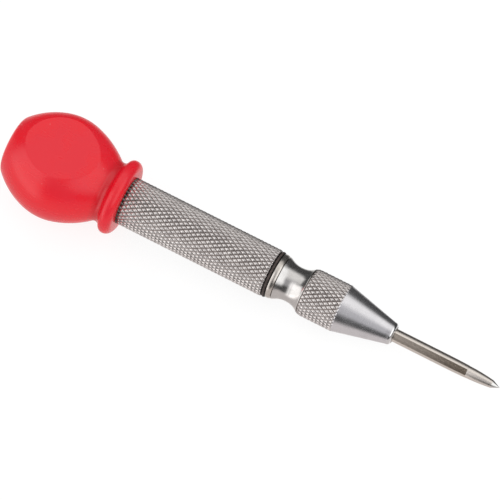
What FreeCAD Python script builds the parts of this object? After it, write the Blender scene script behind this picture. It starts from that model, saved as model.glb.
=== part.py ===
import FreeCAD, Part
import math
import os

# An automatic center punch, lying along X.  The origin is the sharp tip of the punch, +X points
# out of the tip and the red palm ball is at the -X end, with its two flats facing +Z and -Z.
# All lengths are millimetres.  A station is a distance back from the tip, so station s is x = -s.

# Grip: the knurled sleeve that the hand turns, and the diameter that the whole tool is scaled from
GRIP_RADIUS = 7.0
RUNNING_GAP = 0.05          # radial clearance of every piece that slides or turns in another
SLEEVE_FRONT = 70.55
BALL_MOUTH = 116.0
SLEEVE_REAR = 134.0
SLEEVE_SPIGOT_RADIUS = 6.6  # the stretch that the ball is pressed onto
SLEEVE_UNDERCUT = 0.3       # gap between the knurl's end and the ball's mouth
SLEEVE_RELIEF_RADIUS = 6.0  # bore behind the sleeve's internal thread
SLEEVE_THREAD_LENGTH = 17.0
SLEEVE_CHAMFER = 0.4

# Palm ball: a blunt plastic ball with a rounded collar and two flats
BALL_RADIUS = 15.2
BALL_EQUATOR = 136.7
CROWN_RADIUS = 16.0         # roundness along the axis, near the equator
CROWN_HALF_ANGLE = 14.0
REAR_FLANK_RADIUS = 22.0    # the flanks are flatter than the crown
FRONT_FLANK_RADIUS = 26.0
REAR_FLANK_REACH = 14.3
FRONT_FLANK_REACH = 14.4
PALM_EDGE_RADIUS = 3.2
BALL_FLAT_HEIGHT = 11.85    # distance from the axis to either flat
COLLAR_FACE_RADIUS = 9.3
COLLAR_FRONT = (116.55, 10.4)       # station and radius of points on the bead-like collar
COLLAR_CREST = (118.05, 11.1)
COLLAR_SHOULDER = (119.3, 10.8)
COLLAR_REAR = (120.1, 9.95)
GROOVE = (121.1, 9.1)
BALL_BORE_DEPTH = 18.4

# Neck body: threaded tube behind, waisted neck, threaded spigot in front
TUBE_THREAD_RADIUS = 5.8
TUBE_BORE_RADIUS = 4.8
TUBE_REAR = 112.0
TUBE_THREAD_START = 71.2
RING_SEAT_RADIUS = 5.6
WASHER_FRONT = 67.4
WASHER_REAR = 69.25
WASHER_RADIUS = 6.6
WASHER_BORE_RADIUS = 5.9
RING_SECTION_RADIUS = 0.64
NECK_REAR_RADIUS = 6.3
NECK_WAIST = 63.3
NECK_WAIST_RADIUS = 5.2
NECK_REAR_MIDDLE = (65.66, 5.5)
NECK_FRONT_MIDDLE = (61.4, 5.5)
FLARE_RADIUS = 6.6
FLARE_FRONT = 59.5
FLARE_LIP = 0.2
SPIGOT_FRONT = 50.3
SPIGOT_RADIUS = 4.5
SPIGOT_BORE_RADIUS = 3.25
WEB_FRONT = 63.0

# Nose cap and the bush that guides the point
CAP_SHOULDER = 49.05
CAP_REAR = 59.45
CAP_CHAMFER = 0.3
CAP_CHAMFER_LENGTH = 0.9
CONE_FRONT = 33.6
CONE_FRONT_RADIUS = 3.3
NOSE_FACE = 32.45
NOSE_ROUND_RADIUS = 3.0
NOSE_ROUND_STATION = 32.75
CAP_CHAMBER_RADIUS = 3.3
CAP_CHAMBER_FRONT = 39.75
CAP_THREAD_START = 50.2
BUSH_FACE = 32.35
BUSH_RADIUS = 2.4
BUSH_COLLAR_RADIUS = 3.2
BUSH_COLLAR_FRONT = 39.8
BUSH_REAR = 41.2

# Point and the trip pin behind it
POINT_RADIUS = 1.9
TIP_CONE_LENGTH = 2.3
TIP_CONE_RADIUS = 1.12
TIP_FLAT_RADIUS = 0.08
TAPER_MIDDLE = 5.6
TAPER_MIDDLE_RADIUS = 1.52
TAPER_REAR = 9.9
TAPER_REAR_RADIUS = 1.74
SHANK_START = 16.5
POINT_FLANGE_FRONT = 41.25
POINT_FLANGE_REAR = 44.5
POINT_FLANGE_RADIUS = 3.2
PIN_RADIUS = 1.5
PIN_SHOULDER = 68.5
PIN_NECK_RADIUS = 1.2
PIN_SOCKET_DEPTH = 3.0

# Impact mechanism: travel of the point before the latch lets the hammer go
STROKE = 11.0
WEB_REAR = 72.0
BUFFER_THICKNESS = 2.0
BUFFER_RADIUS = 4.3
BUFFER_BORE_RADIUS = 1.9
HAMMER_FRONT = 74.02
HAMMER_LENGTH = 26.0
HAMMER_RADIUS = 4.0
HAMMER_BORE_RADIUS = 1.3
HAMMER_BORE_DEPTH = 22.0
HAMMER_CHAMFER = 0.4
LATCH_FRONT = 84.0
LATCH_LENGTH = 4.0
LATCH_HALF_WIDTH = 1.8
LATCH_THROW = 0.4           # how far the latch stands off centre at rest
LATCH_BACK = 2.2            # from the axis to the latch's spring end, at rest
LATCH_SLOT_BACK = 3.4
LATCH_GAP = 0.03
LATCH_SPRING_POCKET = 0.8
LATCH_SPRING_RADIUS = 0.8
LATCH_SPRING_BORE = 0.5

# Springs stand as plain tubes of the coils' outer and inner size
MAIN_SPRING_RADIUS = 3.9
MAIN_SPRING_BORE_RADIUS = 2.9
SPRING_SEAT_FRONT = 128.0
SPRING_SEAT_RADIUS = 5.9
SPRING_PIP_RADIUS = 2.7
SPRING_PIP_LENGTH = 4.0
PLUG_FRONT = 131.0
RETURN_SPRING_RADIUS = 3.0
RETURN_SPRING_BORE_RADIUS = 2.2

ORIGIN = FreeCAD.Vector(0, 0, 0)
TOOL_AXIS = FreeCAD.Vector(1, 0, 0)


def spot(station, radius):
    """A point of a turned outline: this far back from the tip, this far out from the axis."""
    return FreeCAD.Vector(-station, 0, radius)


def via(station, radius):
    """Marks a point that an arc of an outline passes through, between the corners beside it."""
    return ("via", station, radius)


def turned(*outline):
    """Spins a closed outline of (station, radius) corners and via() points about the axis."""
    start, middle, edges = spot(*outline[0]), None, []
    for corner in outline[1:] + outline[:1]:
        if corner[0] == "via":
            middle = spot(*corner[1:])
            continue
        end = spot(*corner)
        edge = Part.Arc(start, middle, end) if middle else Part.LineSegment(start, end)
        edges.append(edge.toShape())
        start, middle = end, None
    return Part.Face(Part.Wire(edges)).revolve(ORIGIN, TOOL_AXIS, 360)


def tube(front, rear, bore_radius, radius):
    """A plain turned ring, or a rod where the bore radius is nothing."""
    return turned((front, bore_radius), (front, radius), (rear, radius), (rear, bore_radius))


def crown_end():
    """Where the ball's crown hands over to a flank: along the axis and out from it."""
    angle = math.radians(CROWN_HALF_ANGLE)
    along = CROWN_RADIUS * math.sin(angle)
    return along, BALL_RADIUS - CROWN_RADIUS * (1 - math.cos(angle))


def flank(radius, reach):
    """The ball's radius at a reach along the axis from the equator, and the flank's slope there.

    The flank is an arc that leaves the crown without a crease.
    """
    angle = math.radians(CROWN_HALF_ANGLE)
    along, out = crown_end()
    offset = reach - (along - radius * math.sin(angle))
    slope = math.asin(offset / radius)
    return out - radius * math.cos(angle) + radius * math.cos(slope), slope


def palm_ball():
    """The red ball: bead-like collar, groove, blunt ball, rounded edge and a plain palm face."""
    along, out = crown_end()
    front_radius, _ = flank(FRONT_FLANK_RADIUS, FRONT_FLANK_REACH)
    front_middle, _ = flank(FRONT_FLANK_RADIUS, (along + FRONT_FLANK_REACH) / 2)
    rear_middle, _ = flank(REAR_FLANK_RADIUS, (along + REAR_FLANK_REACH) / 2)
    rear_radius, slope = flank(REAR_FLANK_RADIUS, REAR_FLANK_REACH)
    middle_slope = (slope + math.pi / 2) / 2
    edge = BALL_EQUATOR + REAR_FLANK_REACH
    edge_middle = edge + PALM_EDGE_RADIUS * (math.sin(middle_slope) - math.sin(slope))
    edge_fall = PALM_EDGE_RADIUS * (math.cos(slope) - math.cos(middle_slope))
    palm = edge + PALM_EDGE_RADIUS * (1 - math.sin(slope))
    bore_end = BALL_MOUTH + BALL_BORE_DEPTH
    ball = turned(
        (BALL_MOUTH, SLEEVE_SPIGOT_RADIUS),
        (BALL_MOUTH, COLLAR_FACE_RADIUS),
        via(*COLLAR_FRONT),
        COLLAR_CREST,
        via(*COLLAR_SHOULDER),
        COLLAR_REAR,
        via(*GROOVE),
        (BALL_EQUATOR - FRONT_FLANK_REACH, front_radius),
        via(BALL_EQUATOR - (along + FRONT_FLANK_REACH) / 2, front_middle),
        (BALL_EQUATOR - along, out),
        via(BALL_EQUATOR, BALL_RADIUS),
        (BALL_EQUATOR + along, out),
        via(BALL_EQUATOR + (along + REAR_FLANK_REACH) / 2, rear_middle),
        (edge, rear_radius),
        via(edge_middle, rear_radius - edge_fall),
        (palm, rear_radius - PALM_EDGE_RADIUS * math.cos(slope)),
        (palm, 0),
        (bore_end, 0),
        (bore_end, SLEEVE_SPIGOT_RADIUS),
    )
    size = 4 * BALL_RADIUS
    for side in (1, -1):
        beyond = Part.makeBox(size, size, size)
        middle_height = side * (BALL_FLAT_HEIGHT + size / 2)
        beyond.translate(FreeCAD.Vector(-BALL_EQUATOR - size / 2, -size / 2, middle_height - size / 2))
        ball = ball.cut(beyond)
    return ball


def barrel_sleeve():
    """The knurled sleeve: thread in front, relief bore behind, spigot inside the ball."""
    thread = TUBE_THREAD_RADIUS + RUNNING_GAP
    thread_end = SLEEVE_FRONT + SLEEVE_THREAD_LENGTH
    return turned(
        (SLEEVE_FRONT, thread + SLEEVE_CHAMFER),
        (SLEEVE_FRONT, GRIP_RADIUS - SLEEVE_CHAMFER),
        (SLEEVE_FRONT + SLEEVE_CHAMFER, GRIP_RADIUS),
        (BALL_MOUTH - SLEEVE_UNDERCUT, GRIP_RADIUS),
        (BALL_MOUTH - SLEEVE_UNDERCUT, SLEEVE_SPIGOT_RADIUS),
        (SLEEVE_REAR, SLEEVE_SPIGOT_RADIUS),
        (SLEEVE_REAR, SLEEVE_RELIEF_RADIUS),
        (thread_end, SLEEVE_RELIEF_RADIUS),
        (thread_end, thread),
        (SLEEVE_FRONT + SLEEVE_CHAMFER, thread),
    )


def sleeve_plug():
    """The plug that closes the sleeve's rear end and takes the main spring's thrust."""
    return tube(PLUG_FRONT, SLEEVE_REAR, 0, SLEEVE_RELIEF_RADIUS)


def spring_seat():
    """The button between plug and main spring, with a pip that centres the coils."""
    pip_front = SPRING_SEAT_FRONT - SPRING_PIP_LENGTH
    return turned(
        (pip_front, 0),
        (pip_front, SPRING_PIP_RADIUS),
        (SPRING_SEAT_FRONT, SPRING_PIP_RADIUS),
        (SPRING_SEAT_FRONT, SPRING_SEAT_RADIUS),
        (PLUG_FRONT - LATCH_GAP, SPRING_SEAT_RADIUS),
        (PLUG_FRONT - LATCH_GAP, 0),
    )


def main_spring():
    """The spring that drives the hammer."""
    return tube(HAMMER_FRONT + HAMMER_LENGTH, SPRING_SEAT_FRONT, MAIN_SPRING_BORE_RADIUS, MAIN_SPRING_RADIUS)


def trip_bush():
    """The tapered bush that pushes the latch back to the centre as the hammer rises."""
    mouth = HAMMER_RADIUS + LATCH_THROW + RUNNING_GAP
    throat = HAMMER_RADIUS + RUNNING_GAP
    taper_front = LATCH_FRONT + LATCH_LENGTH
    return turned(
        (taper_front, mouth),
        (taper_front, TUBE_BORE_RADIUS),
        (TUBE_REAR, TUBE_BORE_RADIUS),
        (TUBE_REAR, throat),
        (taper_front + STROKE, throat),
    )


def neck_body():
    """The fixed body: spigot for the nose cap, waisted neck, ring seats and threaded tube."""
    bush_seat = LATCH_FRONT + LATCH_LENGTH
    chamber = HAMMER_RADIUS + LATCH_THROW + RUNNING_GAP
    pin_hole = PIN_RADIUS + RUNNING_GAP
    return turned(
        (SPIGOT_FRONT, SPIGOT_BORE_RADIUS),
        (SPIGOT_FRONT, SPIGOT_RADIUS),
        (FLARE_FRONT, SPIGOT_RADIUS),
        (FLARE_FRONT, FLARE_RADIUS),
        (FLARE_FRONT + FLARE_LIP, FLARE_RADIUS),
        via(*NECK_FRONT_MIDDLE),
        (NECK_WAIST, NECK_WAIST_RADIUS),
        via(*NECK_REAR_MIDDLE),
        (WASHER_FRONT, NECK_REAR_RADIUS),
        (WASHER_FRONT, WASHER_BORE_RADIUS),
        (WASHER_REAR, WASHER_BORE_RADIUS),
        (WASHER_REAR, RING_SEAT_RADIUS),
        (TUBE_THREAD_START, RING_SEAT_RADIUS),
        (TUBE_THREAD_START, TUBE_THREAD_RADIUS),
        (TUBE_REAR, TUBE_THREAD_RADIUS),
        (TUBE_REAR, TUBE_BORE_RADIUS),
        (bush_seat, TUBE_BORE_RADIUS),
        (bush_seat, chamber),
        (WEB_REAR, chamber),
        (WEB_REAR, pin_hole),
        (WEB_FRONT, pin_hole),
        (WEB_FRONT, SPIGOT_BORE_RADIUS),
    )


def thrust_washer():
    """The plated washer between the neck and the rubber ring."""
    return tube(WASHER_FRONT, WASHER_REAR, WASHER_BORE_RADIUS, WASHER_RADIUS)


def o_ring():
    """The rubber ring that gives the sleeve its turning friction."""
    middle = spot(WASHER_REAR + RING_SECTION_RADIUS, 0)
    return Part.makeTorus(RING_SEAT_RADIUS + RING_SECTION_RADIUS, RING_SECTION_RADIUS, middle, TOOL_AXIS)


def buffer_washer():
    """The fibre washer that the hammer rests on."""
    return tube(WEB_REAR, WEB_REAR + BUFFER_THICKNESS, BUFFER_BORE_RADIUS, BUFFER_RADIUS)


def nose_cap():
    """The front cap: a knurled grip ring, a long cone and a rounded nose."""
    bush_hole = BUSH_RADIUS + RUNNING_GAP
    thread = SPIGOT_RADIUS + RUNNING_GAP
    return turned(
        (NOSE_FACE, bush_hole),
        via(NOSE_ROUND_STATION, NOSE_ROUND_RADIUS),
        (CONE_FRONT, CONE_FRONT_RADIUS),
        (CAP_SHOULDER, GRIP_RADIUS),
        (CAP_REAR - CAP_CHAMFER_LENGTH, GRIP_RADIUS),
        (CAP_REAR, GRIP_RADIUS - CAP_CHAMFER),
        (CAP_REAR, thread),
        (CAP_THREAD_START, thread),
        (CAP_THREAD_START, CAP_CHAMBER_RADIUS),
        (CAP_CHAMBER_FRONT, CAP_CHAMBER_RADIUS),
        (CAP_CHAMBER_FRONT, bush_hole),
    )


def guide_bush():
    """The bush in the nose that the point slides in."""
    bore = POINT_RADIUS + RUNNING_GAP
    return turned(
        (BUSH_FACE, bore),
        (BUSH_FACE, BUSH_RADIUS),
        (BUSH_COLLAR_FRONT, BUSH_RADIUS),
        (BUSH_COLLAR_FRONT, BUSH_COLLAR_RADIUS),
        (BUSH_REAR, BUSH_COLLAR_RADIUS),
        (BUSH_REAR, bore),
    )


def point():
    """The hardened punch: ground tip, slim taper, plain shank and a flange that holds it in."""
    socket = POINT_FLANGE_REAR - PIN_SOCKET_DEPTH
    return turned(
        (0, 0),
        (0, TIP_FLAT_RADIUS),
        (TIP_CONE_LENGTH, TIP_CONE_RADIUS),
        via(TAPER_MIDDLE, TAPER_MIDDLE_RADIUS),
        (TAPER_REAR, TAPER_REAR_RADIUS),
        (SHANK_START, POINT_RADIUS),
        (POINT_FLANGE_FRONT, POINT_RADIUS),
        (POINT_FLANGE_FRONT, POINT_FLANGE_RADIUS),
        (POINT_FLANGE_REAR, POINT_FLANGE_RADIUS),
        (POINT_FLANGE_REAR, PIN_RADIUS),
        (socket, PIN_RADIUS),
        (socket, 0),
    )


def trip_pin():
    """The rod pressed into the point: its shoulder takes the blow, its thin end lifts the latch."""
    front = POINT_FLANGE_REAR - PIN_SOCKET_DEPTH
    end = LATCH_FRONT - RUNNING_GAP
    return turned(
        (front, 0),
        (front, PIN_RADIUS),
        (PIN_SHOULDER, PIN_RADIUS),
        (PIN_SHOULDER, PIN_NECK_RADIUS),
        (end, PIN_NECK_RADIUS),
        (end, 0),
    )


def return_spring():
    """The spring that pushes the point out again."""
    return tube(POINT_FLANGE_REAR, WEB_FRONT, RETURN_SPRING_BORE_RADIUS, RETURN_SPRING_RADIUS)


def slab(front, length, back, far, half_width):
    """A block along the tool: its station and length, its reach across in Y, its half width."""
    block = Part.makeBox(length, back + far, 2 * half_width)
    block.translate(FreeCAD.Vector(-front - length, -back, -half_width))
    return block


def hammer():
    """The striker: a heavy rod, bored for the trip pin and slotted across for the latch."""
    rear = HAMMER_FRONT + HAMMER_LENGTH
    rod = turned(
        (HAMMER_FRONT, HAMMER_BORE_RADIUS),
        (HAMMER_FRONT, HAMMER_RADIUS - HAMMER_CHAMFER),
        (HAMMER_FRONT + HAMMER_CHAMFER, HAMMER_RADIUS),
        (rear - HAMMER_CHAMFER, HAMMER_RADIUS),
        (rear, HAMMER_RADIUS - HAMMER_CHAMFER),
        (rear, 0),
        (HAMMER_FRONT + HAMMER_BORE_DEPTH, 0),
        (HAMMER_FRONT + HAMMER_BORE_DEPTH, HAMMER_BORE_RADIUS),
    )
    slot = slab(
        LATCH_FRONT - LATCH_GAP,
        LATCH_LENGTH + 2 * LATCH_GAP,
        LATCH_SLOT_BACK,
        2 * HAMMER_RADIUS,
        LATCH_HALF_WIDTH + LATCH_GAP,
    )
    return rod.cut(slot)


def trip_latch():
    """The sliding block that carries the hammer up until the bush pushes it on centre."""
    rear = LATCH_FRONT + LATCH_LENGTH
    block = slab(LATCH_FRONT, LATCH_LENGTH, LATCH_BACK + LATCH_THROW, HAMMER_RADIUS, LATCH_HALF_WIDTH)
    block = block.common(tube(LATCH_FRONT, rear, 0, HAMMER_RADIUS))
    block = block.cut(tube(LATCH_FRONT, rear, 0, HAMMER_BORE_RADIUS))
    block.translate(FreeCAD.Vector(0, LATCH_THROW, 0))
    return block.cut(latch_spring_tube(0))


def latch_spring_tube(bore_radius):
    """The space or the coils of the latch spring, between the slot's end and the latch."""
    start = FreeCAD.Vector(-LATCH_FRONT - LATCH_LENGTH / 2, -LATCH_SLOT_BACK, 0)
    length = LATCH_SLOT_BACK - LATCH_BACK + LATCH_SPRING_POCKET
    across = FreeCAD.Vector(0, 1, 0)
    coils = Part.makeCylinder(LATCH_SPRING_RADIUS, length, start, across)
    if bore_radius:
        coils = coils.cut(Part.makeCylinder(bore_radius, length, start, across))
    return coils


def latch_spring():
    """The small spring that pushes the latch off centre."""
    return latch_spring_tube(LATCH_SPRING_BORE)


PIECES = (
    palm_ball, barrel_sleeve, sleeve_plug, spring_seat, main_spring, trip_bush,
    neck_body, thrust_washer, o_ring, buffer_washer, nose_cap, guide_bush,
    point, trip_pin, return_spring, hammer, trip_latch, latch_spring,
)

os.makedirs("parts", exist_ok=True)
for piece in PIECES:
    solid = piece()
    solid.exportStep(os.path.join("parts", piece.__name__ + ".step"))
    box = solid.BoundBox
    print(f"{piece.__name__}: {len(solid.Solids)} solid, valid {solid.isValid()}, {solid.Volume:.1f} mm3, "
          f"x {box.XMin:.2f}..{box.XMax:.2f}, z {box.ZMin:.2f}..{box.ZMax:.2f}")
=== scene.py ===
import math

import bmesh
import bpy
import numpy as np
from mathutils import Matrix, Vector


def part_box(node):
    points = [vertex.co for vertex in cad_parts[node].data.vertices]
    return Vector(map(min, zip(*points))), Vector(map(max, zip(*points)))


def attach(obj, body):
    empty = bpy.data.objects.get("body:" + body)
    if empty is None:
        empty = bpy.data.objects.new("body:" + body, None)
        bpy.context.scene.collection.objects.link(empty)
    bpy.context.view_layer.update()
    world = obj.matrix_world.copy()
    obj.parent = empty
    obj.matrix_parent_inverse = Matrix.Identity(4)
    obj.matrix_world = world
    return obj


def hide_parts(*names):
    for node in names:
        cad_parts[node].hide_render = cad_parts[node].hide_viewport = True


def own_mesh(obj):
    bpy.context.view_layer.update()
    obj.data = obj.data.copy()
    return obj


# The looks of an automatic center punch that lies along X with its tip at the origin.
# Turned shapes are outlines of (station, radius) in millimetres: a station is the distance back
# from the tip, so station s lies at x = -s.

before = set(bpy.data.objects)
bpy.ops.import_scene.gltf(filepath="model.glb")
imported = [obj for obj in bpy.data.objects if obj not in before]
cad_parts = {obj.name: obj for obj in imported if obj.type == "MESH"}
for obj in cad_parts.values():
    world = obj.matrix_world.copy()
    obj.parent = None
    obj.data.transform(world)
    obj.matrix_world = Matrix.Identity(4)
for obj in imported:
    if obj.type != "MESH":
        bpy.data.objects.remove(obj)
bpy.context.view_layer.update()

MM = 0.001


def reach(node):
    """A CAD node's front station, rear station and outer radius, in millimetres."""
    low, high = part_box(node)
    return -high.x / MM, -low.x / MM, high.y / MM


SLEEVE_FRONT, SLEEVE_REAR, GRIP_RADIUS = reach("barrel_sleeve")
CAP_FRONT, CAP_REAR, _ = reach("nose_cap")
WASHER_FRONT, WASHER_REAR, WASHER_RADIUS = reach("thrust_washer")
BALL_MOUTH, PALM, BALL_RADIUS = reach("palm_ball")
BUSH_FACE, BUSH_REAR, _ = reach("guide_bush")
_, POINT_REAR, POINT_FLANGE_RADIUS = reach("point")
BODY_FRONT, BODY_REAR, _ = reach("neck_body")
FLAT_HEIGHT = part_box("palm_ball")[1].z / MM
RING_CREST = reach("o_ring")[2]

# Knurl: two sets of grooves that cross at 30 degrees to the axis
KNURL_STARTS = 34
KNURL_LEAD = 2.23           # length of one diamond along the axis
KNURL_DEPTH = 0.34
KNURL_STEPS = 10            # mesh steps across one diamond

THREAD_PITCH = 1.0
THREAD_DEPTH = 0.5
THREAD_STEPS = 12


# ---------------------------------------------------------------- turned shapes

def arc(start, middle, end, steps):
    """Points of the circular arc from start through middle to end, without its start."""
    (ax, ay), (bx, by), (cx, cy) = start, middle, end
    d = 2 * (ax * (by - cy) + bx * (cy - ay) + cx * (ay - by))
    a2, b2, c2 = ax * ax + ay * ay, bx * bx + by * by, cx * cx + cy * cy
    ox = (a2 * (by - cy) + b2 * (cy - ay) + c2 * (ay - by)) / d
    oy = (a2 * (cx - bx) + b2 * (ax - cx) + c2 * (bx - ax)) / d
    radius = math.hypot(ax - ox, ay - oy)
    first, mid, last = (math.atan2(y - oy, x - ox) for x, y in (start, middle, end))
    turn = (last - first) % math.tau
    if (mid - first) % math.tau > turn:
        turn -= math.tau
    angles = (first + turn * (k + 1) / steps for k in range(steps))
    return [(ox + radius * math.cos(t), oy + radius * math.sin(t)) for t in angles]


def eased(outline, ease):
    """Rounds each real corner of a closed outline, as a deburred edge is."""
    done = []
    for k, here in enumerate(outline):
        before, after = outline[k - 1], outline[(k + 1) % len(outline)]
        p, a, b = np.array(here), np.array(before), np.array(after)
        to_a, to_b = a - p, b - p
        length_a, length_b = np.linalg.norm(to_a), np.linalg.norm(to_b)
        straightness = -to_a @ to_b / (length_a * length_b)
        if straightness > 0.93 or here[1] < 1e-6:
            done.append(here)
            continue
        cut = min(ease, 0.45 * length_a, 0.45 * length_b)
        start, end = p + to_a / length_a * cut, p + to_b / length_b * cut
        for t in (0, 0.33, 0.67, 1):
            done.append(tuple((1 - t) ** 2 * start + 2 * t * (1 - t) * p + t * t * end))
    return done


def lathe(name, outline, segments=96, relief=None, split=None, sharp_angle=35):
    """Spins a closed outline about the tool's axis.

    relief(stations, radii, angles) gives how far points are pulled in, in millimetres, and
    split(stations, angles) tells for each cell which of its diagonals is a crease.
    """
    stations = np.array([s for s, _ in outline])
    radii = np.array([r for _, r in outline])
    angles = np.arange(segments) * math.tau / segments
    s, a = np.meshgrid(stations, angles, indexing="ij")
    r = np.repeat(radii[:, None], segments, axis=1)
    if relief is not None:
        r = r - relief(s, r, a)
    points = np.stack([-s, -r * np.sin(a), r * np.cos(a)], axis=-1).reshape(-1, 3) * MM
    rows = len(outline)
    i, j = np.meshgrid(np.arange(rows), np.arange(segments), indexing="ij")
    i_next, j_next = (i + 1) % rows, (j + 1) % segments
    here, ahead = i * segments, i_next * segments
    quads = np.stack([here + j, here + j_next, ahead + j_next, ahead + j], -1)
    on_axis = (radii < 1e-9) & (np.roll(radii, -1) < 1e-9)
    quads = quads[~on_axis].reshape(-1, 4)
    if split is None:
        faces = quads.tolist()
    else:
        middle_s = ((stations + np.roll(stations, -1)) / 2)[~on_axis]
        middle_a = angles + math.pi / segments
        creased, along = split(*np.meshgrid(middle_s, middle_a, indexing="ij"))
        creased, along = creased.reshape(-1), along.reshape(-1)
        faces = quads[~creased].tolist()
        faces += quads[creased & along][:, (0, 1, 2, 0, 2, 3)].reshape(-1, 3).tolist()
        faces += quads[creased & ~along][:, (0, 1, 3, 1, 2, 3)].reshape(-1, 3).tolist()
    mesh = bpy.data.meshes.new(name)
    mesh.from_pydata(points.tolist(), [], faces)
    return finished(name, mesh, sharp_angle)


def finished(name, mesh, sharp_angle):
    """Welds doubled points, turns the faces outwards, smooths, and links the new object."""
    work = bmesh.new()
    work.from_mesh(mesh)
    bmesh.ops.remove_doubles(work, verts=work.verts, dist=1e-8)
    bmesh.ops.recalc_face_normals(work, faces=work.faces)
    work.to_mesh(mesh)
    work.free()
    mesh.shade_smooth()
    mesh.set_sharp_from_angle(angle=math.radians(sharp_angle))
    piece = bpy.data.objects.new(name, mesh)
    bpy.context.scene.collection.objects.link(piece)
    return piece


def ridge(phase):
    """A sharp valley of height 0 on each groove line, and a round crest of height 1 between them."""
    return np.abs(np.sin(math.pi * phase))


def knurl_phases(stations, angles):
    """The two groove families, counted in grooves."""
    around, along = angles * KNURL_STARTS / math.tau, stations / KNURL_LEAD
    return around + along, around - along


def knurl(front, full, rear):
    """The relief and the creases of a diamond knurl that fades in from front to full depth."""
    def relief(stations, radii, angles):
        p, q = knurl_phases(stations, angles)
        height = np.minimum(ridge(p), ridge(q))
        depth = KNURL_DEPTH * np.clip((stations - front + 1e-9) / (full - front + 1e-9), 0, 1)
        surface = GRIP_RADIUS - depth * (1 - height)
        inside = (stations >= front) & (stations <= rear) & (radii > GRIP_RADIUS - KNURL_DEPTH)
        return np.where(inside, np.maximum(radii - surface, 0), 0)

    def split(stations, angles):
        p, q = knurl_phases(stations, angles)
        inside = (stations > front) & (stations < rear)
        return inside, ridge(p) >= ridge(q)

    return relief, split


def knurl_rows(front, rear, radius_at):
    """Outline points on a knurled stretch, on the knurl's own grid."""
    step = KNURL_LEAD / KNURL_STEPS
    first, last = math.ceil(front / step), math.floor(rear / step)
    return [(k * step, radius_at(k * step)) for k in range(first, last + 1)]


def thread(front, rear, least_radius):
    """The relief of a right-hand screw thread between two stations."""
    def relief(stations, radii, angles):
        wave = 0.5 + 0.5 * np.cos(math.tau * stations / THREAD_PITCH + angles)
        inside = (stations > front) & (stations < rear) & (radii >= least_radius)
        return np.where(inside, THREAD_DEPTH * np.clip(1.25 * wave, 0, 1), 0)

    return relief


def thread_rows(front, rear, radius):
    """Outline points on a threaded stretch."""
    count = round((rear - front) / THREAD_PITCH * THREAD_STEPS)
    return [(front + (rear - front) * k / count, radius) for k in range(count + 1)]


# ---------------------------------------------------------------- materials

class Shading:
    """A material's node tree with short ways to add the nodes used here."""

    def __init__(self, name):
        self.material = bpy.data.materials.new(name)
        self.material.use_nodes = True
        self.nodes = self.material.node_tree.nodes
        self.links = self.material.node_tree.links
        self.shader = self.nodes["Principled BSDF"]
        coordinates = self.add("ShaderNodeTexCoord")
        scaled = self.add("ShaderNodeVectorMath", operation="SCALE")
        scaled.inputs["Scale"].default_value = 1 / MM
        self.links.new(coordinates.outputs["Object"], scaled.inputs[0])
        self.place = scaled.outputs[0]

    def add(self, kind, **settings):
        node = self.nodes.new(kind)
        for key, value in settings.items():
            setattr(node, key, value)
        return node

    def fill(self, socket, value):
        if isinstance(value, bpy.types.NodeSocket):
            self.links.new(value, socket)
        else:
            socket.default_value = value

    def math(self, operation, *values):
        node = self.add("ShaderNodeMath", operation=operation)
        for socket, value in zip(node.inputs, values):
            self.fill(socket, value)
        return node.outputs[0]

    def sum(self, value, more, share=1.0):
        """The first number plus a share of the second."""
        return self.math("ADD", value, self.math("MULTIPLY", more, share))

    def stretch(self, scale):
        """The place in millimetres, scaled differently along each axis."""
        node = self.add("ShaderNodeVectorMath", operation="MULTIPLY")
        node.inputs[1].default_value = scale
        self.links.new(self.place, node.inputs[0])
        return node.outputs[0]

    def noise(self, scale, detail=3.0, vector=None, roughness=0.55):
        node = self.add("ShaderNodeTexNoise")
        node.inputs["Scale"].default_value = scale
        node.inputs["Detail"].default_value = detail
        node.inputs["Roughness"].default_value = roughness
        self.links.new(vector or self.place, node.inputs["Vector"])
        return node.outputs["Fac"]

    def spread(self, value, low, high, to_low=0.0, to_high=1.0):
        node = self.add("ShaderNodeMapRange", interpolation_type="SMOOTHSTEP")
        for key, number in (("From Min", low), ("From Max", high), ("To Min", to_low), ("To Max", to_high)):
            self.fill(node.inputs[key], number)
        self.fill(node.inputs["Value"], value)
        return node.outputs[0]

    def mix(self, share, first, second):
        node = self.add("ShaderNodeMix", data_type="RGBA")
        self.fill(node.inputs["Factor"], share)
        for key, colour in (("A", first), ("B", second)):
            socket = [s for s in node.inputs if s.name == key and s.type == "RGBA"][0]
            self.fill(socket, colour if isinstance(colour, bpy.types.NodeSocket) else (*colour, 1))
        return [s for s in node.outputs if s.type == "RGBA"][0]

    def blend(self, share, first, second):
        """The mix of two numbers."""
        node = self.add("ShaderNodeMix", data_type="FLOAT")
        for key, value in ((0, share), (2, first), (3, second)):
            self.fill(node.inputs[key], value)
        return node.outputs[0]

    def radius(self):
        """Distance from the tool's axis, in millimetres."""
        flat = self.stretch((0, 1, 1))
        node = self.add("ShaderNodeVectorMath", operation="LENGTH")
        self.links.new(flat, node.inputs[0])
        return node.outputs["Value"]

    def station(self):
        """Distance back from the tip, in millimetres."""
        node = self.add("ShaderNodeSeparateXYZ")
        self.links.new(self.place, node.inputs[0])
        return self.math("MULTIPLY", node.outputs["X"], -1.0)

    def colour(self, value):
        self.fill(self.shader.inputs["Base Color"], value)

    def rough(self, value):
        self.fill(self.shader.inputs["Roughness"], value)

    def bump(self, height, distance, strength=1.0):
        node = self.add("ShaderNodeBump")
        node.inputs["Strength"].default_value = strength
        node.inputs["Distance"].default_value = distance * MM
        self.fill(node.inputs["Height"], height)
        self.links.new(node.outputs[0], self.shader.inputs["Normal"])

    def set(self, **values):
        for key, value in values.items():
            self.shader.inputs[key.replace("_", " ")].default_value = value


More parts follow.
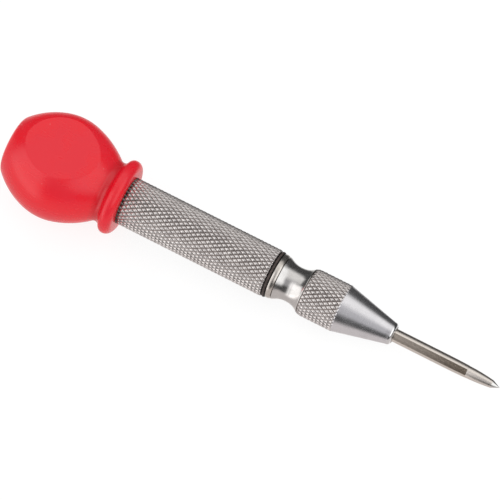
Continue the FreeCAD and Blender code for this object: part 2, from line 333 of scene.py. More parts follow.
def red_plastic():
    """Moulded red plastic: satin skin with fine orange peel, faint scuffs and dust specks, and painted shade
    in the groove behind the collar.
    """
    look = Shading("red_plastic")
    cloud = look.noise(0.12, 2.0)
    skin = look.mix(look.spread(cloud, 0.35, 0.65), (0.75, 0.003, 0.014), (0.72, 0.004, 0.018))
    speck = look.spread(look.noise(1.1, 1.0), 0.80, 0.82)
    station = look.station()
    # Darker skin in the groove between the collar and the ball: painted shade.
    groove_shade = look.math(
        "MINIMUM",
        look.spread(station, COLLAR_REAR[0] - 0.2, GROOVE[0]),
        look.spread(station, GROOVE[0] + 2.4, GROOVE[0] + 0.5),
    )
    skin = look.mix(look.math("MULTIPLY", groove_shade, 0.85), skin, (0.56, 0.003, 0.012))
    look.colour(look.mix(speck, skin, (0.86, 0.45, 0.42)))
    scuffs = look.spread(look.noise(0.9, 4.0, look.stretch((0.35, 1.0, 1.4))), 0.52, 0.75)
    look.rough(look.sum(look.spread(cloud, 0.3, 0.7, 0.24, 0.29), scuffs, 0.06))
    look.bump(look.noise(3.2, 3.0), 0.012)
    look.set(Specular_IOR_Level=0.62)
    return look.material


def knurl_finish(look):
    """Colour and roughness of a knurl: dirty grooves, satin slopes and worn bright points."""
    radius = look.radius()
    clean = look.spread(radius, GRIP_RADIUS - 0.95 * KNURL_DEPTH, GRIP_RADIUS - 0.45 * KNURL_DEPTH)
    crest = look.spread(radius, GRIP_RADIUS - 0.40 * KNURL_DEPTH, GRIP_RADIUS - 0.08 * KNURL_DEPTH)
    grain = look.noise(5.0, 3.0)
    wear = look.spread(look.noise(0.8, 3.0), 0.35, 0.65)
    groove = look.mix(look.spread(grain, 0.35, 0.7), (0.26, 0.225, 0.21), (0.44, 0.395, 0.375))
    slope = look.mix(wear, (0.60, 0.565, 0.555), (0.86, 0.82, 0.805))
    point = look.mix(wear, (0.82, 0.79, 0.78), (0.95, 0.92, 0.90))
    colour = look.mix(crest, look.mix(clean, groove, slope), point)
    worn = look.spread(crest, 0.0, 1.0, 0.40, 0.35)
    roughness = look.math("ADD", worn, look.spread(grain, 0.4, 0.7, 0.0, 0.06))
    return colour, roughness, grain


def knurled_steel():
    """Nickelled steel, knurled, with a ring of painted shade against the ball's collar."""
    look = Shading("knurled_steel")
    colour, roughness, grain = knurl_finish(look)
    # A darker ring on the knurl where it meets the ball's collar: painted shade.
    edge = look.sum(look.station(), look.noise(0.5, 2.0), 1.2)
    collar_shade = look.spread(edge, BALL_MOUTH - 0.7, BALL_MOUTH + 0.3, 0.0, 0.85)
    look.colour(look.mix(collar_shade, colour, (0.10, 0.075, 0.06)))
    look.rough(roughness)
    look.bump(grain, 0.012)
    look.set(Metallic=1.0)
    return look.material


BUFFED_WAVES = 34.0         # height of the slow waves that buffing leaves, in hairlines


def polished_steel():
    """Polished, plated steel with hairlines and slow waves, and dirt in the seams at its two ends."""
    look = Shading("polished_steel")
    hair = look.noise(1.0, 2.0, look.stretch((22.0, 0.25, 0.25)))
    cloud = look.noise(0.6, 3.0)
    plate = look.mix(look.spread(cloud, 0.35, 0.7), (0.80, 0.785, 0.77), (0.74, 0.725, 0.71))
    station = look.station()
    front_seam = look.spread(station, FLARE_FRONT + 0.18, FLARE_FRONT + 0.08)
    groove = WASHER_FACE - NECK_GROOVE
    rear_seam = look.spread(station, groove - 0.03, groove + 0.01)
    look.colour(look.mix(look.math("MAXIMUM", front_seam, rear_seam), plate, (0.20, 0.18, 0.165)))
    look.rough(look.sum(look.spread(cloud, 0.3, 0.7, 0.14, 0.22), hair, 0.05))
    look.bump(look.sum(hair, look.noise(0.45, 1.0), BUFFED_WAVES), 0.0012)
    look.set(Metallic=1.0)
    return look.material


def nickel_washer():
    """Warm nickel plate with a brushed face."""
    look = Shading("nickel_washer")
    hair = look.noise(1.0, 2.0, look.stretch((14.0, 0.3, 0.3)))
    cloud = look.noise(0.9, 3.0)
    look.colour(look.mix(look.spread(cloud, 0.35, 0.7), (0.82, 0.775, 0.725), (0.70, 0.65, 0.60)))
    look.rough(look.sum(look.spread(cloud, 0.3, 0.7, 0.18, 0.26), hair, 0.06))
    look.bump(hair, 0.0015)
    look.set(Metallic=1.0)
    return look.material


def turned_cap():
    """The nose cap: knurl as on the barrel, a satin cone with fine turning rings, a polished lip."""
    look = Shading("turned_cap")
    station = look.station()
    knurled, knurl_rough, grain = knurl_finish(look)
    rings = look.noise(1.0, 3.0, look.stretch((9.0, 0.08, 0.08)))
    cloud = look.noise(0.35, 3.0)
    fine = look.spread(look.noise(3.5, 3.0, look.stretch((1.6, 1.0, 1.0))), 0.3, 0.7)
    shade = look.blend(0.5, look.spread(cloud, 0.35, 0.7), fine)
    cone = look.mix(shade, (0.97, 0.96, 0.99), (0.84, 0.83, 0.86))
    on_lip = look.spread(station, LIP_REAR, LIP_REAR - 0.15)
    cone = look.mix(on_lip, cone, (0.95, 0.95, 0.96))
    cone_rough = look.sum(look.spread(cloud, 0.3, 0.7, 0.20, 0.25), rings, 0.07)
    cone_rough = look.blend(on_lip, cone_rough, 0.16)
    on_knurl = look.spread(station, CAP_SHOULDER - 0.45, CAP_SHOULDER - 0.25)
    look.colour(look.mix(on_knurl, cone, knurled))
    look.rough(look.blend(on_knurl, cone_rough, knurl_rough))
    look.bump(look.sum(rings, grain, 0.5), 0.004)
    look.set(Metallic=1.0)
    return look.material


def tool_steel():
    """The point: warm grey shank, a darker grained strip along one side of it that is a painted dark
    reflection, a ground taper and a bright tip.
    """
    look = Shading("tool_steel")
    station = look.station()
    grain = look.noise(7.0, 4.0, look.stretch((0.45, 1.0, 1.0)), 0.7)
    shank = look.mix(look.spread(grain, 0.3, 0.7), (0.87, 0.80, 0.74), (0.95, 0.88, 0.81))
    # A dark grained strip along one side of the shank, behind the taper: a painted dark reflection.
    strip_grain = look.noise(5.0, 3.0, None, 0.8)
    painted_reflection = look.mix(look.spread(strip_grain, 0.35, 0.7), (0.06, 0.045, 0.032), (0.40, 0.335, 0.275))
    axes = look.add("ShaderNodeSeparateXYZ")
    look.links.new(look.place, axes.inputs[0])
    angle = look.math("ARCTAN2", axes.outputs["Y"], axes.outputs["Z"])
    off_strip = look.math("ABSOLUTE", look.math("SUBTRACT", angle, STRIP_ANGLE))
    on_strip = look.spread(off_strip, STRIP_HALF_ANGLE + 0.05, STRIP_HALF_ANGLE - 0.03)
    behind_taper = look.spread(station, TAPER_REAR - 0.05, TAPER_REAR + 0.05)
    fading = look.spread(station, TAPER_REAR, BUSH_FACE, 1.0, 0.74)
    share = look.math("MULTIPLY", look.math("MULTIPLY", on_strip, behind_taper), fading)
    # The shank with the painted dark reflection laid over it.
    worn = look.mix(share, shank, painted_reflection)
    ground = look.mix(look.spread(grain, 0.3, 0.7), (0.90, 0.83, 0.77), (0.98, 0.92, 0.86))
    body = look.mix(behind_taper, ground, worn)
    at_tip = look.spread(station, TIP_CONE_LENGTH + 0.1, TIP_CONE_LENGTH - 0.1)
    look.colour(look.mix(at_tip, body, (0.90, 0.89, 0.87)))
    look.rough(look.sum(look.spread(grain, 0.3, 0.7, 0.24, 0.34), share, 0.14))
    look.bump(grain, 0.006)
    look.set(Metallic=1.0)
    return look.material


def black_rubber():
    """Moulded rubber: black flanks and a brown crest that is a painted highlight."""
    look = Shading("black_rubber")
    bloom = look.noise(1.4, 4.0)
    painted_highlight = look.mix(look.spread(bloom, 0.35, 0.75), (0.055, 0.042, 0.038), (0.10, 0.076, 0.068))
    # The lighter brown on the ring's crest is a painted highlight.
    crest = look.spread(look.radius(), RING_CREST - 0.15, RING_CREST - 0.04)
    look.colour(look.mix(crest, (0.006, 0.005, 0.005), painted_highlight))
    look.rough(look.spread(bloom, 0.3, 0.7, 0.42, 0.55))
    look.bump(look.noise(6.0, 3.0), 0.01)
    look.set(Specular_IOR_Level=0.16)
    return look.material


def plain_steel(name, colour, roughness, scale):
    """Machined steel of the inner pieces, with turning marks and a thin film of oil."""
    look = Shading(name)
    rings = look.noise(1.0, 3.0, look.stretch((8.0, 0.2, 0.2)))
    film = look.noise(scale, 3.0)
    darker = tuple(0.7 * c for c in colour)
    look.colour(look.mix(look.spread(film, 0.35, 0.7), colour, darker))
    look.rough(look.sum(look.spread(film, 0.3, 0.7, roughness, roughness + 0.08), rings, 0.06))
    look.bump(rings, 0.004)
    look.set(Metallic=1.0)
    return look.material


def pressed_fibre():
    """Pressed fibre board."""
    look = Shading("pressed_fibre")
    fleck = look.noise(4.0, 4.0)
    look.colour(look.mix(look.spread(fleck, 0.35, 0.7), (0.30, 0.17, 0.08), (0.42, 0.27, 0.15)))
    look.rough(look.spread(fleck, 0.3, 0.7, 0.65, 0.8))
    look.bump(fleck, 0.03)
    return look.material


def dress(piece, material, body, slot, *nodes):
    """Gives a new piece its material, the body that it rides on and the CAD nodes it stands for."""
    piece.data.materials.append(material)
    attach(piece, body)
    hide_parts(*nodes)
    return piece


# ---------------------------------------------------------------- ball

BALL_EQUATOR = 136.7
CROWN_RADIUS = 16.0
CROWN_HALF_ANGLE = math.radians(14)
REAR_FLANK_RADIUS = 22.0
FRONT_FLANK_RADIUS = 26.0
REAR_FLANK_REACH = 14.3
FRONT_FLANK_REACH = 14.4
PALM_EDGE_RADIUS = 3.2
COLLAR_FACE_RADIUS = 9.3
COLLAR_FRONT = (116.55, 10.4)
COLLAR_CREST = (118.05, 11.1)
COLLAR_SHOULDER = (119.2, 10.8)
COLLAR_REAR = (119.8, 10.0)
GROOVE = (120.8, 9.12)
SPIGOT_RADIUS = 6.6
BALL_BORE_DEPTH = 18.4
FLAT_RIM = 0.06             # softness of the rim where the ball's skin meets a flat


def flank(radius, reach):
    """The ball's radius at a reach from the equator on a flank, and the flank's slope there."""
    along = CROWN_RADIUS * math.sin(CROWN_HALF_ANGLE)
    out = BALL_RADIUS - CROWN_RADIUS * (1 - math.cos(CROWN_HALF_ANGLE))
    slope = math.asin((reach - along + radius * math.sin(CROWN_HALF_ANGLE)) / radius)
    return out - radius * math.cos(CROWN_HALF_ANGLE) + radius * math.cos(slope), slope


def ball_radius_at(station):
    """The ball's radius at a station between its groove and its palm edge."""
    offset = station - BALL_EQUATOR
    if abs(offset) < CROWN_RADIUS * math.sin(CROWN_HALF_ANGLE):
        return BALL_RADIUS - CROWN_RADIUS + math.sqrt(CROWN_RADIUS**2 - offset**2)
    return flank(REAR_FLANK_RADIUS if offset > 0 else FRONT_FLANK_RADIUS, abs(offset))[0]


def palm_ball():
    """The ball as one skin, with its flats pressed in and their rims softly rounded."""
    front = BALL_EQUATOR - FRONT_FLANK_REACH
    rear = BALL_EQUATOR + REAR_FLANK_REACH
    rear_radius, slope = flank(REAR_FLANK_RADIUS, REAR_FLANK_REACH)
    outline = [(BALL_MOUTH, SPIGOT_RADIUS), (BALL_MOUTH, COLLAR_FACE_RADIUS)]
    outline += arc(outline[-1], COLLAR_FRONT, COLLAR_CREST, 16)
    outline += arc(COLLAR_CREST, COLLAR_SHOULDER, COLLAR_REAR, 12)
    outline += arc(COLLAR_REAR, GROOVE, (front, ball_radius_at(front)), 16)
    steps = 72
    stations = [front + (rear - front) * k / steps for k in range(1, steps + 1)]
    outline += [(s, ball_radius_at(s)) for s in stations]
    edge_centre = rear_radius - PALM_EDGE_RADIUS * math.cos(slope)
    for k in range(1, 13):
        angle = slope + (math.pi / 2 - slope) * k / 12
        outline.append((
            rear + PALM_EDGE_RADIUS * (math.sin(angle) - math.sin(slope)),
            edge_centre + PALM_EDGE_RADIUS * math.cos(angle),
        ))
    palm_radius = outline[-1][1]
    outline += [(PALM, palm_radius * k / 6) for k in range(5, -1, -1)]
    bore_end = BALL_MOUTH + BALL_BORE_DEPTH
    outline += [(bore_end, 0), (bore_end, SPIGOT_RADIUS)]
    piece = lathe("Palm_Ball", outline, segments=192, sharp_angle=60)
    press_flats(piece.data)
    return piece


def press_flats(mesh):
    """Presses both flats into the round ball, with rows of points along their rims."""
    work = bmesh.new()
    work.from_mesh(mesh)
    for side in (1, -1):
        for step in range(-4, 5):
            level = FLAT_HEIGHT + step * FLAT_RIM
            everything = work.verts[:] + work.edges[:] + work.faces[:]
            place = (0, 0, side * level * MM)
            bmesh.ops.bisect_plane(work, geom=everything, plane_co=place, plane_no=(0, 0, 1))
    for vert in work.verts:
        height = abs(vert.co.z) / MM
        if height > FLAT_HEIGHT - 6 * FLAT_RIM:
            over = (FLAT_HEIGHT - height) / FLAT_RIM
            pressed = FLAT_HEIGHT - FLAT_RIM * (math.log1p(math.exp(over)) if over < 30 else over)
            vert.co.z = math.copysign(pressed, vert.co.z) * MM
    work.to_mesh(mesh)
    work.free()
    mesh.shade_smooth()


# ---------------------------------------------------------------- metal pieces

CAP_SHOULDER = 49.05
CONE_FRONT = 33.6
CONE_FRONT_RADIUS = 3.3
CONE_SLOPE = (GRIP_RADIUS - CONE_FRONT_RADIUS) / (CAP_SHOULDER - CONE_FRONT)
CAP_REAR_RADIUS = 6.7
CAP_CHAMFER_SLOPE = 0.3 / 0.9
KNURL_RUNOUT = 1.2          # how far the grooves run onto the cone
NOSE_ROUND = (32.75, 3.0)
LIP_REAR = 33.45            # the polished lip ends here
CAP_THREAD_RADIUS = 4.55
CAP_CHAMBER_RADIUS = 3.3
CAP_CHAMBER_FRONT = 39.75
CAP_CHAMBER_REAR = 50.2
BUSH_HOLE_RADIUS = 2.45
SLEEVE_BORE_RADIUS = 6.0
SLEEVE_THREAD_RADIUS = 5.85
SLEEVE_THREAD_LENGTH = 17


def barrel_sleeve():
    """The knurled sleeve, with its plain end face, bore and spigot."""
    bore, thread_radius = SLEEVE_BORE_RADIUS, SLEEVE_THREAD_RADIUS
    thread_end = SLEEVE_FRONT + SLEEVE_THREAD_LENGTH
    rows = knurl_rows(SLEEVE_FRONT + 0.05, BALL_MOUTH - 0.02, lambda s: GRIP_RADIUS)
    outline = [(SLEEVE_FRONT, thread_radius + 0.4), (SLEEVE_FRONT, GRIP_RADIUS - KNURL_DEPTH)] + rows
    outline += [(rows[-1][0] + 0.01, SPIGOT_RADIUS), (SLEEVE_REAR, SPIGOT_RADIUS), (SLEEVE_REAR, bore)]
    outline += [(thread_end, bore), (thread_end, thread_radius), (SLEEVE_FRONT + 0.4, thread_radius)]
    relief, split = knurl(rows[0][0] - 1e-6, rows[0][0] - 1e-6, rows[-1][0] + 1e-6)
    return lathe("Barrel_Sleeve", outline, KNURL_STARTS * KNURL_STEPS, relief, split, sharp_angle=32)


def cap_radius_at(station):
    """The cap's radius at a station, before its knurl is cut."""
    cone = CONE_FRONT_RADIUS + (station - CONE_FRONT) * CONE_SLOPE
    return min(cone, GRIP_RADIUS, CAP_REAR_RADIUS + (CAP_REAR - station) * CAP_CHAMFER_SLOPE)


def nose_cap():
    """The cap: knurled ring that runs out onto the cone, rounded nose, bush hole and threaded bore."""
    rows = knurl_rows(CAP_SHOULDER - KNURL_RUNOUT, CAP_REAR - 0.02, cap_radius_at)
    outline = [(CAP_FRONT + 0.01, BUSH_HOLE_RADIUS)]
    outline += arc(outline[0], NOSE_ROUND, (CONE_FRONT, CONE_FRONT_RADIUS), 10)
    steps = 12
    stations = (CONE_FRONT + (rows[0][0] - CONE_FRONT) * k / steps for k in range(1, steps))
    outline += [(s, cap_radius_at(s)) for s in stations] + rows
    outline += [(CAP_REAR, GRIP_RADIUS - KNURL_DEPTH), (CAP_REAR, CAP_THREAD_RADIUS)]
    outline += [(CAP_CHAMBER_REAR, CAP_THREAD_RADIUS), (CAP_CHAMBER_REAR, CAP_CHAMBER_RADIUS)]
    outline += [(CAP_CHAMBER_FRONT, CAP_CHAMBER_RADIUS), (CAP_CHAMBER_FRONT, BUSH_HOLE_RADIUS)]
    relief, split = knurl(rows[0][0] - 1e-6, CAP_SHOULDER, rows[-1][0] + 1e-6)
    return lathe("Nose_Cap", outline, KNURL_STARTS * KNURL_STEPS, relief, split, sharp_angle=32)


NECK_WAIST = (63.3, 5.2)
NECK_REAR_RADIUS = 6.36
NECK_REAR_MIDDLE = (64.9, 5.29)
NECK_SHOULDER = (66.2, 5.70)
NECK_FRONT_MIDDLE = (61.4, 5.56)
FLARE_FRONT = 59.5
FLARE_RADIUS = 6.6
BODY_SPIGOT_RADIUS = 4.5
BODY_SPIGOT_BORE = 3.25
TUBE_THREAD_RADIUS = 5.8
TUBE_THREAD_START = 71.2
TUBE_BORE_RADIUS = 4.8
RING_SEAT_RADIUS = 5.6
WASHER_SEAT_RADIUS = 5.9
NECK_GROOVE = 0.22          # the dark line that parts the washer from the neck
WASHER_FACE = WASHER_FRONT + 0.35   # where the washer's front face shows
WASHER_CROWN = ((0.0, 0.34), (0.4, 0.11), (0.95, 0.0))  # back from the face, and in from the radius
CHAMBER_RADIUS = 4.45
WEB_FRONT, WEB_REAR = 63.0, 72.0
PIN_HOLE_RADIUS = 1.55
BUSH_SEAT = 88.0


def neck_body():
    """The fixed body: threaded spigot, polished neck, ring seats and threaded tube."""
    spigot_end = FLARE_FRONT - 0.6
    flare = (FLARE_FRONT + 0.2, FLARE_RADIUS)
    neck_rear = (WASHER_FACE - NECK_GROOVE, NECK_REAR_RADIUS)
    outline = [(BODY_FRONT, BODY_SPIGOT_BORE)]
    outline += thread_rows(BODY_FRONT, spigot_end, BODY_SPIGOT_RADIUS)
    outline += [(spigot_end + 0.02, BODY_SPIGOT_RADIUS - THREAD_DEPTH)]
    outline += [(FLARE_FRONT, BODY_SPIGOT_RADIUS - THREAD_DEPTH), (FLARE_FRONT, FLARE_RADIUS - 0.1)]
    outline += [(FLARE_FRONT + 0.1, FLARE_RADIUS), flare]
    outline += arc(flare, NECK_FRONT_MIDDLE, NECK_WAIST, 24)
    outline += arc(NECK_WAIST, NECK_REAR_MIDDLE, NECK_SHOULDER, 24) + [neck_rear]
    outline += [(neck_rear[0] + 0.02, WASHER_SEAT_RADIUS), (WASHER_REAR, WASHER_SEAT_RADIUS)]
    outline += [(WASHER_REAR, RING_SEAT_RADIUS), (TUBE_THREAD_START - 0.02, RING_SEAT_RADIUS)]
    outline += thread_rows(TUBE_THREAD_START, BODY_REAR - 0.4, TUBE_THREAD_RADIUS)
    outline += [(BODY_REAR, TUBE_THREAD_RADIUS - 0.4), (BODY_REAR, TUBE_BORE_RADIUS)]
    outline += [(BUSH_SEAT, TUBE_BORE_RADIUS), (BUSH_SEAT, CHAMBER_RADIUS)]
    outline += [(WEB_REAR, CHAMBER_RADIUS), (WEB_REAR, PIN_HOLE_RADIUS)]
    outline += [(WEB_FRONT, PIN_HOLE_RADIUS), (WEB_FRONT, BODY_SPIGOT_BORE)]
    front_thread = thread(BODY_FRONT, spigot_end, BODY_SPIGOT_RADIUS - 0.01)
    rear_thread = thread(TUBE_THREAD_START, BODY_REAR, TUBE_THREAD_RADIUS - 0.01)

    def relief(s, r, a):
        return np.where(s < FLARE_FRONT, front_thread(s, r, a), rear_thread(s, r, a))

    return lathe("Neck_Body", outline, 128, relief, sharp_angle=50)


def thrust_washer():
    """The washer between neck and rubber ring, crowned towards the neck."""
    crown = [(WASHER_FACE + along, WASHER_RADIUS - inward) for along, inward in WASHER_CROWN]
    outline = [(WASHER_FACE, WASHER_SEAT_RADIUS), crown[0]] + arc(*crown, 8)
    outline += [(WASHER_REAR, WASHER_RADIUS), (WASHER_REAR, WASHER_SEAT_RADIUS)]
    return lathe("Thrust_Washer", eased(outline, 0.08), 128)


FLASH_HEIGHT = 0.03         # the moulding line round the rubber ring


def o_ring():
    """The rubber ring, with the fine flash line of its mould round the outside."""
    front, rear, outer = reach("o_ring")
    section = (rear - front) / 2
    centre = (front + rear) / 2
    middle_radius = outer - section
    outline = []
    for k in range(48):
        angle = math.tau * k / 48
        height = section if k in (11, 12, 13) else section - FLASH_HEIGHT
        outline.append((centre - section * math.cos(angle), middle_radius + height * math.sin(angle)))
    return lathe("O_Ring", outline, 128, sharp_angle=70)


BUSH_BORE_RADIUS = 1.95
BUSH_RADIUS = 2.4
BUSH_SHOULDER = 39.8
BUSH_SHOULDER_RADIUS = 3.2


def guide_bush():
    """The bush round the point."""
    outline = [(BUSH_FACE, BUSH_BORE_RADIUS), (BUSH_FACE, BUSH_RADIUS), (BUSH_SHOULDER, BUSH_RADIUS)]
    outline += [(BUSH_SHOULDER, BUSH_SHOULDER_RADIUS), (BUSH_REAR, BUSH_SHOULDER_RADIUS)]
    outline += [(BUSH_REAR, BUSH_BORE_RADIUS)]
    return lathe("Guide_Bush", eased(outline, 0.12), 96)


POINT_RADIUS = 1.9
TIP_CONE_LENGTH = 2.3
TIP_CONE_RADIUS = 1.12
TAPER_MIDDLE = (5.6, 1.52)
TAPER_REAR = 9.9
TAPER_REAR_RADIUS = 1.74
SHANK_MIDDLE = (13.0, 1.862)
SHANK_START = 16.5
FLANGE_LENGTH = 3.25
STRIP_ANGLE = math.radians(-37)         # the painted dark reflection's middle, from the top towards -Y
STRIP_HALF_ANGLE = math.radians(30)


def point():
    """The punch: honed tip, ground taper with its small step, and the shank."""
    taper_rear = (TAPER_REAR, TAPER_REAR_RADIUS)
    outline = [(0, 0), (0.02, 0.05), (0.09, 0.09), (TIP_CONE_LENGTH - 0.1, TIP_CONE_RADIUS - 0.05)]
    outline += [(TIP_CONE_LENGTH + 0.1, TIP_CONE_RADIUS + 0.02)]
    outline += arc(outline[-1], TAPER_MIDDLE, taper_rear, 24)
    outline += [(TAPER_REAR + 0.08, TAPER_REAR_RADIUS + 0.05)]
    outline += arc(outline[-1], SHANK_MIDDLE, (SHANK_START, POINT_RADIUS), 10)
    flange_front = POINT_REAR - FLANGE_LENGTH
    outline += [(flange_front, POINT_RADIUS), (flange_front, POINT_FLANGE_RADIUS)]
    outline += [(POINT_REAR, POINT_FLANGE_RADIUS), (POINT_REAR, 0)]
    return lathe("Point", outline, 96, sharp_angle=30)


CLOSED_TURNS = 1.5          # turns that lie against each other at each end of a spring


def coil(name, front, rear, radius, wire, turns):
    """A round-wire compression spring between two stations, with closed ends."""
    steps_per_turn, around = 28, 10
    count = round(turns * steps_per_turn)
    t = np.arange(count + 1) / steps_per_turn
    length = rear - front - 2 * wire
    end_rise = CLOSED_TURNS * 2 * wire
    marks = (0, CLOSED_TURNS, turns - CLOSED_TURNS, turns)
    station = front + wire + np.interp(t, marks, (0, end_rise, length - end_rise, length))
    turn = math.tau * t
    ring = np.arange(around) * math.tau / around
    out = radius + wire * np.cos(ring)[None, :]
    s = station[:, None] + wire * np.sin(ring)[None, :]
    points = np.stack([-s, out * np.cos(turn)[:, None], out * np.sin(turn)[:, None]], -1).reshape(-1, 3) * MM
    faces = []
    for start in range(0, count * around, around):
        for j in range(around):
            j_next = (j + 1) % around
            faces.append((start + j, start + j_next, start + around + j_next, start + around + j))
    faces += [tuple(range(around)), tuple(count * around + k for k in reversed(range(around)))]
    mesh = bpy.data.meshes.new(name)
    mesh.from_pydata(points.tolist(), [], faces)
    return finished(name, mesh, 50)


LATCH_WIRE = 0.15
LATCH_TURNS = 5


def spring(node, name, body, wire, turns, material):
    """A coil in place of a CAD spring tube."""
    front, rear, outer = reach(node)
    piece = coil(name, front, rear, outer - wire, wire, turns)
    dress(piece, material, body, "spring_steel", node)
    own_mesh(piece)


def latch_coil(material):
    """The latch's small coil, which lies across the tool."""
    low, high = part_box("latch_spring")
    outer = (high.z - low.z) / 2 / MM
    piece = coil("Latch_Spring", low.y / MM, high.y / MM, outer - LATCH_WIRE, LATCH_WIRE, LATCH_TURNS)
    across = Matrix.Rotation(-math.pi / 2, 4, "Z")
    piece.data.transform(Matrix.Translation(((low.x + high.x) / 2, 0, 0)) @ across)
    dress(piece, material, "hammer", "spring_steel", "latch_spring")
    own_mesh(piece)


# ---------------------------------------------------------------- build

dress(palm_ball(), red_plastic(), "sleeve", "red_plastic", "palm_ball")
dress(barrel_sleeve(), knurled_steel(), "sleeve", "knurled_steel", "barrel_sleeve")
dress(nose_cap(), turned_cap(), "nose_cap", "satin_steel", "nose_cap")
dress(neck_body(), polished_steel(), "body", "polished_steel", "neck_body")
dress(thrust_washer(), nickel_washer(), "body", "nickel_plate", "thrust_washer")
dress(o_ring(), black_rubber(), "body", "black_rubber", "o_ring")
turned_steel = plain_steel("turned_steel", (0.66, 0.65, 0.63), 0.24, 0.8)
hardened_steel = plain_steel("hardened_steel", (0.50, 0.49, 0.48), 0.20, 1.2)
spring_wire = plain_steel("spring_wire", (0.42, 0.42, 0.43), 0.28, 1.5)
dress(guide_bush(), turned_steel, "nose_bush", "turned_steel", "guide_bush")
dress(point(), tool_steel(), "point", "tool_steel", "point")

spring("main_spring", "Main_Spring", "seat", 0.5, 14, spring_wire)
spring("return_spring", "Return_Spring", "body", 0.3, 11, spring_wire)
latch_coil(spring_wire)

INNER = {
    "sleeve_plug": turned_steel, "spring_seat": turned_steel, "trip_bush": hardened_steel,
    "trip_pin": hardened_steel, "hammer": hardened_steel, "trip_latch": hardened_steel,
    "buffer_washer": pressed_fibre(),
}
for node, material in INNER.items():
    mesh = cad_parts[node].data
    mesh.materials.clear()
    mesh.materials.append(material)


# ---------------------------------------------------------------- stage, light and camera

CAMERA_AZIMUTH = math.radians(19.79)
CAMERA_ELEVATION = math.radians(63.68)
CAMERA_ROLL = math.radians(8.79)
CAMERA_DISTANCE = 1.4
CAMERA_LENS = 364.8
CAMERA_AIM = Vector((-0.07908, 0.00337, 0.00003))
FLAT_RIM_STATION = 125.6    # where the ball's lower flat begins, and touches the bench
FLOOR_HALF_WIDTH = 3.0
EVEN_LIGHT = 1.12           # the light of every direction on what isn't a reflection

back = Vector((math.sin(CAMERA_AZIMUTH) * math.cos(CAMERA_ELEVATION),
               -math.cos(CAMERA_AZIMUTH) * math.cos(CAMERA_ELEVATION), math.sin(CAMERA_ELEVATION)))
level = Vector((math.cos(CAMERA_AZIMUTH), math.sin(CAMERA_AZIMUTH), 0))
upright = back.cross(level)
right = level * math.cos(CAMERA_ROLL) + upright * math.sin(CAMERA_ROLL)
up = upright * math.cos(CAMERA_ROLL) - level * math.sin(CAMERA_ROLL)


def make_camera():
    """A long lens at the viewing angle, rolled so that the bench looks level."""
    data = bpy.data.cameras.new("Camera")
    data.lens = CAMERA_LENS
    data.clip_end = 10
    camera = bpy.data.objects.new("Camera", data)
    turn = Matrix((right, up, back)).transposed().to_4x4()
    camera.matrix_world = Matrix.Translation(CAMERA_AIM + back * CAMERA_DISTANCE) @ turn
    bpy.context.scene.collection.objects.link(camera)
    bpy.context.scene.camera = camera


def make_floor():
    """The bench top: it touches the ball's lower flat and the nose cap's shoulder."""
    tilt = math.atan((FLAT_HEIGHT - GRIP_RADIUS) / (FLAT_RIM_STATION - CAP_SHOULDER))
    half = FLOOR_HALF_WIDTH
    mesh = bpy.data.meshes.new("Floor")
    corners = [(-half, -half, 0), (half, -half, 0), (half, half, 0), (-half, half, 0)]
    mesh.from_pydata(corners, [], [(0, 1, 2, 3)])
    floor = bpy.data.objects.new("Floor", mesh)
    under_shoulder = Matrix.Translation((-CAP_SHOULDER * MM, 0, -GRIP_RADIUS * MM))
    floor.matrix_world = under_shoulder @ Matrix.Rotation(-tilt, 4, "Y")
    look = Shading("floor_paper")
    tooth = look.noise(0.05, 3.0)
    look.colour(look.mix(look.spread(tooth, 0.3, 0.7), (0.16, 0.16, 0.16), (0.17, 0.17, 0.17)))
    look.set(Emission_Color=(1, 1, 1, 1), Emission_Strength=0.86)
    look.rough(look.spread(tooth, 0.3, 0.7, 0.80, 0.88))
    look.set(Specular_IOR_Level=0.1)
    mesh.materials.append(look.material)
    floor.visible_glossy = False
    bpy.context.scene.collection.objects.link(floor)


def tool_directions():
    """The three directions that the studio is laid out on: the tool's length towards its tip, from
    the tool towards the camera, and towards the picture's top."""
    tool = Vector((1, 0, 0))
    facing = (back - tool * back.dot(tool)).normalized()
    top = facing.cross(tool)
    return tool, facing, top if top.dot(up) > 0 else -top


# The studio as a metal surface sees it. Each soft panel spans a range of turn about the tool, from
# the camera's side towards the picture's top, and a range of lean along the tool towards its tip,
# in degrees, then the width of its soft edges, then its light.
PANELS = {
    "overhead softbox": (20, 77, -57, 30, 32, 14, (0.77, 0.76, 0.75)),
    "camera and its stand": (-30, 20, -28, 30, 26, 16, (0.30, 0.295, 0.305)),
    "card beyond the tip": (-42, 76, 30, 74, 24, 16, (1.10, 1.10, 1.10)),
    "softbox by the ball": (-88, 8, -78, -10, 26, 24, (1.22, 1.20, 1.19)),
    "bench in front": (-220, -75, -80, 80, 24, 30, (0.51, 0.475, 0.465)),
    "bench behind, below": (-220, -160, -80, 80, 30, 30, (0.30, 0.30, 0.30)),
    "bench behind, above": (154, 220, -80, 80, 28, 30, (0.75, 0.74, 0.73)),
}
SURROUND = (0.05, 0.05, 0.05)


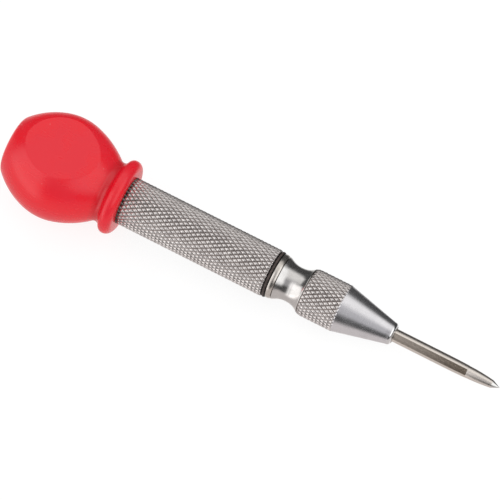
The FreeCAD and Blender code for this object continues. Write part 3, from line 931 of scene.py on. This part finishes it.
def make_light():
    """Even light on the plastic and the bench, and the soft panels that glossy surfaces reflect."""
    world = bpy.data.worlds.new("Studio")
    world.use_nodes = True
    bpy.context.scene.world = world
    nodes, links = world.node_tree.nodes, world.node_tree.links
    direction = nodes.new("ShaderNodeTexCoord").outputs["Generated"]

    def math_node(operation, *values):
        node = nodes.new("ShaderNodeMath")
        node.operation = operation
        for socket, value in zip(node.inputs, values):
            if isinstance(value, bpy.types.NodeSocket):
                links.new(value, socket)
            else:
                socket.default_value = value
        return node.outputs[0]

    def along(axis):
        node = nodes.new("ShaderNodeVectorMath")
        node.operation = "DOT_PRODUCT"
        links.new(direction, node.inputs[0])
        node.inputs[1].default_value = axis
        return node.outputs["Value"]

    def edge(value, at, soft):
        node = nodes.new("ShaderNodeMapRange")
        node.interpolation_type = "SMOOTHSTEP"
        links.new(value, node.inputs["Value"])
        node.inputs["From Min"].default_value = math.radians(at - soft / 2)
        node.inputs["From Max"].default_value = math.radians(at + soft / 2)
        return node.outputs[0]

    def window(value, low, high, soft):
        beyond = math_node("SUBTRACT", 1.0, edge(value, high, soft))
        return math_node("MULTIPLY", edge(value, low, soft), beyond)

    tool, facing, top = tool_directions()
    turn = math_node("ARCTAN2", along(top), along(facing))
    lean = math_node("ARCSINE", along(tool))
    total = SURROUND
    for low, high, rear, front, turn_soft, lean_soft, light in PANELS.values():
        across = window(turn, low, high, turn_soft)
        panel = math_node("MULTIPLY", across, window(lean, rear, front, lean_soft))
        lit = nodes.new("ShaderNodeVectorMath")
        lit.operation = "MULTIPLY_ADD"
        lit.inputs[0].default_value = light
        links.new(panel, lit.inputs[1])
        if isinstance(total, tuple):
            lit.inputs[2].default_value = total
        else:
            links.new(total, lit.inputs[2])
        total = lit.outputs["Vector"]
    shown = nodes.new("ShaderNodeMix")
    shown.data_type = "RGBA"
    links.new(nodes.new("ShaderNodeLightPath").outputs["Is Glossy Ray"], shown.inputs[0])
    even, reflected = (socket for socket in shown.inputs if socket.type == "RGBA")
    even.default_value = (EVEN_LIGHT, EVEN_LIGHT, EVEN_LIGHT, 1)
    links.new(total, reflected)
    mixed = [socket for socket in shown.outputs if socket.type == "RGBA"][0]
    links.new(mixed, nodes["Background"].inputs["Color"])


make_camera()
make_floor()
make_light()
bpy.context.scene.view_settings.view_transform = "Standard"
